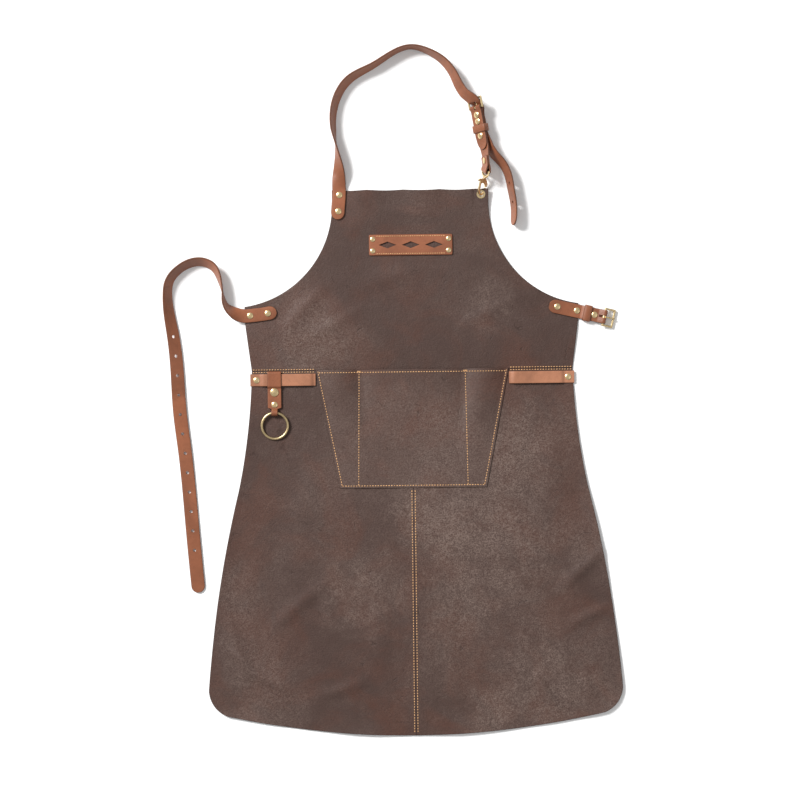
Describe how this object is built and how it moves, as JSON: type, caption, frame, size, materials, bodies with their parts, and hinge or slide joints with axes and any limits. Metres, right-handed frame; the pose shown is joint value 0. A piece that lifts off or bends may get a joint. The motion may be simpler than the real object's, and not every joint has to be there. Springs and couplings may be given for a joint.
{
  "type": "welding apron",
  "caption": "Leather bib apron laid flat: split skirt, divided pocket row, riveted tan straps with brass buckles, a swivel clasp, waist bands and a tool ring.",
  "frame": {"origin": "middle of the waist seam, on the back of the leather, which lies on the floor", "axes": "+Y towards the bib, +Z out of the front of the leather, +X towards the short side strap"},
  "size_m": [0.6647, 1.0072, 0.0266],
  "materials": {
    "apron_leather": "matt waxed brown leather",
    "tan_leather": "semi-matt tan leather",
    "brass": "polished pale brass"
  },
  "bodies": {
    "apron": {"bib_panel": "apron_leather", "skirt_right": "apron_leather", "skirt_left": "apron_leather", "pocket_panel": "apron_leather", "name_patch": "tan_leather", "waist_band_right": "tan_leather", "waist_band_left": "tan_leather", "neck_strap": "tan_leather", "buckle_strap": "tan_leather", "side_strap_long": "tan_leather", "side_strap_short": "tan_leather", "bib_eyelet": "brass", "clasp_eye": "brass", "neck_keeper": "tan_leather", "side_keeper": "tan_leather", "patch_rivets": "brass", "neck_strap_rivets": "brass", "long_strap_rivets": "brass", "short_strap_rivets": "brass", "short_fold_rivet": "brass", "band_rivet_right": "brass", "band_rivet_left": "brass", "buckle_strap_rivets": "brass"},
    "hanger": {"hanger_strap": "tan_leather", "stud_post": "brass", "stud_cap": "brass", "hanger_rivet": "brass"},
    "ring": {"tool_ring": "brass"},
    "hook": {"clasp_hook": "brass", "clasp_pin": "brass"},
    "trigger": {"clasp_trigger": "brass"},
    "neck_frame": {"neck_buckle": "brass"},
    "neck_pin": {"neck_prong": "brass"},
    "side_frame": {"side_buckle": "brass"},
    "side_pin": {"side_prong": "brass"}
  },
  "joints": [
    {"name": "hanger_slide", "type": "slide", "parent": "apron", "child": "hanger", "axis": [1, 0, 0], "range_m": [-0.002, 0.043]},
    {"name": "ring_swing", "type": "hinge", "parent": "hanger", "child": "ring", "pos_m": [-0.2015, -0.0609, 0.0064], "axis": [-1, 0, 0], "range_deg": [0, 150]},
    {"name": "hook_swivel", "type": "hinge", "parent": "apron", "child": "hook", "pos_m": [0.1107, 0.28811, 0.0141], "axis": [-0.2122, -0.9414, -0.2622], "range_deg": [-2.5, 2.5]},
    {"name": "trigger_pivot", "type": "hinge", "parent": "hook", "child": "trigger", "pos_m": [0.10747, 0.2738, 0.01011], "axis": [-0.649, 0.3363, -0.6824], "range_deg": [0, 10], "stiffness_Nm_per_rad": 0.02, "springref_deg": -11.46},
    {"name": "neck_buckle_hinge", "type": "hinge", "parent": "apron", "child": "neck_frame", "pos_m": [0.0975, 0.3794, 0.0142], "axis": [-0.6985, -0.1106, -0.707], "range_deg": [0, 4]},
    {"name": "neck_prong_hinge", "type": "hinge", "parent": "neck_frame", "child": "neck_pin", "pos_m": [0.0975, 0.3794, 0.0142], "axis": [-0.6985, -0.1106, -0.707], "range_deg": [0, 3]},
    {"name": "side_buckle_hinge", "type": "hinge", "parent": "apron", "child": "side_frame", "pos_m": [0.281, 0.0735, 0.0058], "axis": [-0.2248, -0.9744, 0], "range_deg": [0, 85]},
    {"name": "side_prong_hinge", "type": "hinge", "parent": "side_frame", "child": "side_pin", "pos_m": [0.281, 0.0735, 0.0058], "axis": [-0.2248, -0.9744, 0], "range_deg": [0, 40]}
  ]
}
